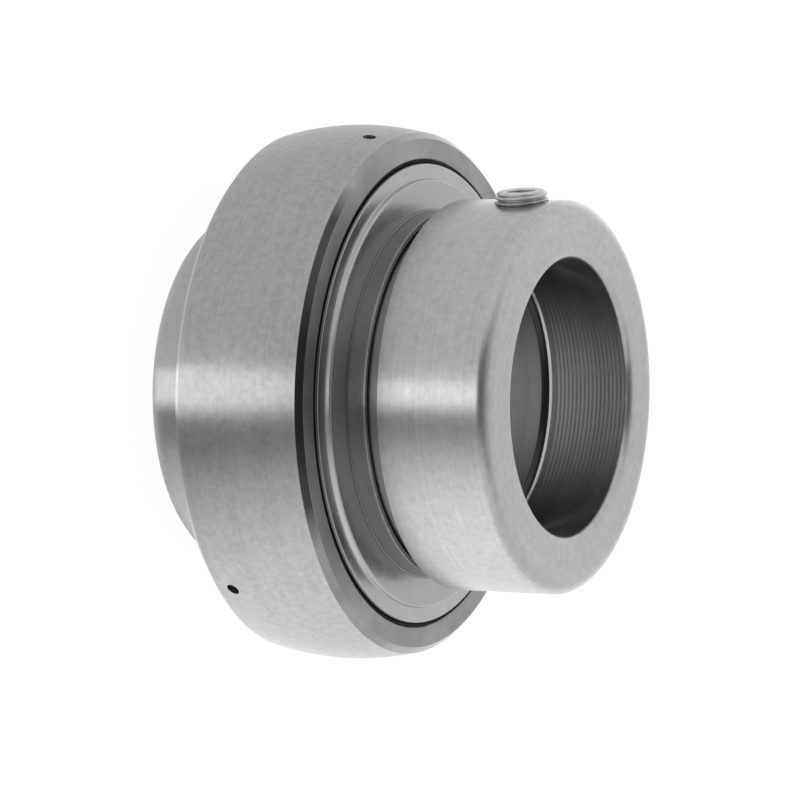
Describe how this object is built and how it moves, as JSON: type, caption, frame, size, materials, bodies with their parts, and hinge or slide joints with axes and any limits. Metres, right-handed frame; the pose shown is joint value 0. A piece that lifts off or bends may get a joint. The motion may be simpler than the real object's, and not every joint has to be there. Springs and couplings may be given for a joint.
{
  "type": "insert bearing",
  "caption": "Insert ball bearing with a spherical outer ring, wide inner ring, sheet-faced rubber seals and an eccentric locking collar with a set screw.",
  "frame": {"origin": "centre of the spherical outer ring, on the bore axis", "axes": "+Z along the bore towards the locking collar, -X through the set screw"},
  "size_m": [0.08, 0.08, 0.0565],
  "materials": {
    "ring_steel": "ground bearing steel",
    "collar_steel": "turned steel",
    "screw_steel": "bright zinc",
    "ball_steel": "polished",
    "cage_plastic": "glass-filled nylon",
    "washer_zinc": "zinc-plated sheet",
    "seal_rubber": "matt black"
  },
  "bodies": {
    "outer": {"outer_ring": "ring_steel", "front_outer_washer": "washer_zinc", "front_seal": "seal_rubber", "front_inner_washer": "washer_zinc", "back_outer_washer": "washer_zinc", "back_seal": "seal_rubber", "back_inner_washer": "washer_zinc"},
    "inner": {"inner_ring": "ring_steel"},
    "cage": {"cage": "cage_plastic"},
    "collar": {"locking_collar": "collar_steel"},
    "screw": {"set_screw": "screw_steel"},
    "ball_1": {"ball_1": "ball_steel"},
    "ball_2": {"ball_2": "ball_steel"},
    "ball_3": {"ball_3": "ball_steel"},
    "ball_4": {"ball_4": "ball_steel"},
    "ball_5": {"ball_5": "ball_steel"},
    "ball_6": {"ball_6": "ball_steel"},
    "ball_7": {"ball_7": "ball_steel"},
    "ball_8": {"ball_8": "ball_steel"},
    "ball_9": {"ball_9": "ball_steel"}
  },
  "joints": [
    {"name": "inner_spin", "type": "hinge", "parent": "outer", "child": "inner", "pos_m": [0, 0, 0], "axis": [0, 0, 1], "continuous": true},
    {"name": "cage_spin", "type": "hinge", "parent": "outer", "child": "cage", "pos_m": [0, 0, 0], "axis": [0, 0, 1], "continuous": true},
    {"name": "collar_turn", "type": "hinge", "parent": "inner", "child": "collar", "pos_m": [0, 0, 0], "axis": [0, 0, 1], "range_deg": [-24.5, 24.5]},
    {"name": "screw_travel", "type": "slide", "parent": "collar", "child": "screw", "axis": [-1, 0, 0], "range_m": [-0.0026, 0.006]},
    {"name": "ball_1_roll", "type": "hinge", "parent": "cage", "child": "ball_1", "pos_m": [0.0305, 0, 0], "axis": [0, 0, 1], "continuous": true},
    {"name": "ball_2_roll", "type": "hinge", "parent": "cage", "child": "ball_2", "pos_m": [0.02336, 0.01961, 0], "axis": [0, 0, 1], "continuous": true},
    {"name": "ball_3_roll", "type": "hinge", "parent": "cage", "child": "ball_3", "pos_m": [0.0053, 0.03004, 0], "axis": [0, 0, 1], "continuous": true},
    {"name": "ball_4_roll", "type": "hinge", "parent": "cage", "child": "ball_4", "pos_m": [-0.01525, 0.02641, 0], "axis": [0, 0, 1], "continuous": true},
    {"name": "ball_5_roll", "type": "hinge", "parent": "cage", "child": "ball_5", "pos_m": [-0.02866, 0.01043, 0], "axis": [0, 0, 1], "continuous": true},
    {"name": "ball_6_roll", "type": "hinge", "parent": "cage", "child": "ball_6", "pos_m": [-0.02866, -0.01043, 0], "axis": [0, 0, 1], "continuous": true},
    {"name": "ball_7_roll", "type": "hinge", "parent": "cage", "child": "ball_7", "pos_m": [-0.01525, -0.02641, 0], "axis": [0, 0, 1], "continuous": true},
    {"name": "ball_8_roll", "type": "hinge", "parent": "cage", "child": "ball_8", "pos_m": [0.0053, -0.03004, 0], "axis": [0, 0, 1], "continuous": true},
    {"name": "ball_9_roll", "type": "hinge", "parent": "cage", "child": "ball_9", "pos_m": [0.02336, -0.01961, 0], "axis": [0, 0, 1], "continuous": true}
  ],
  "couplings": [
    {"joint": "cage_spin", "follows": "inner_spin", "ratio": 0.40164},
    {"joint": "ball_1_roll", "follows": "inner_spin", "ratio": -2.4433},
    {"joint": "ball_2_roll", "follows": "inner_spin", "ratio": -2.4433},
    {"joint": "ball_3_roll", "follows": "inner_spin", "ratio": -2.4433},
    {"joint": "ball_4_roll", "follows": "inner_spin", "ratio": -2.4433},
    {"joint": "ball_5_roll", "follows": "inner_spin", "ratio": -2.4433},
    {"joint": "ball_6_roll", "follows": "inner_spin", "ratio": -2.4433},
    {"joint": "ball_7_roll", "follows": "inner_spin", "ratio": -2.4433},
    {"joint": "ball_8_roll", "follows": "inner_spin", "ratio": -2.4433},
    {"joint": "ball_9_roll", "follows": "inner_spin", "ratio": -2.4433}
  ]
}
